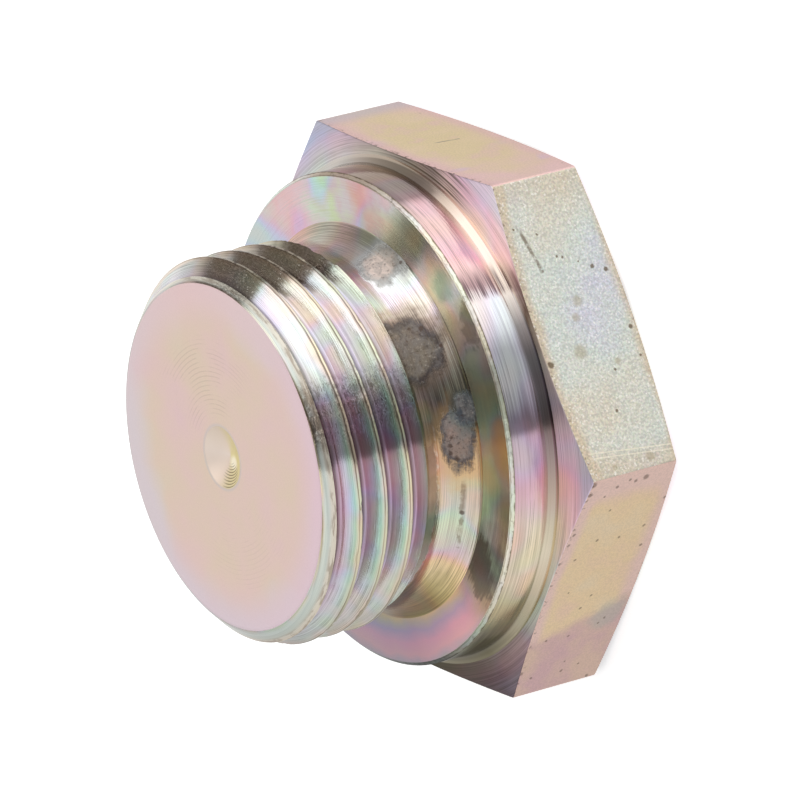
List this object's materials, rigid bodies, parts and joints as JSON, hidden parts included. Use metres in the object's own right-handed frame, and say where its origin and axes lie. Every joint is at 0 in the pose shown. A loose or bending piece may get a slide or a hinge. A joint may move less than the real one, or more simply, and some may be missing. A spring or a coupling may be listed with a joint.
{
  "type": "threaded plug",
  "caption": "Turned hexagon-head screw plug with a round sealing collar, an undercut and a short fine-threaded shank, zinc plated and lightly stained.",
  "frame": {"origin": "on the thread's axis, in the plane of the flat on the back of the head, which is the bottom of the part", "axes": "+Z along the thread's axis, from the head to the end of the thread; +Y is the outward normal of one flat of the hexagon"},
  "size_m": [0.0312, 0.027, 0.0172],
  "materials": {
    "plated_steel": "zinc plate with a faint iridescent passivation, satin on the turned faces, bright on the flanks of the thread and on the collar"
  },
  "bodies": {
    "root": {"plug": "plated_steel"}
  },
  "joints": []
}
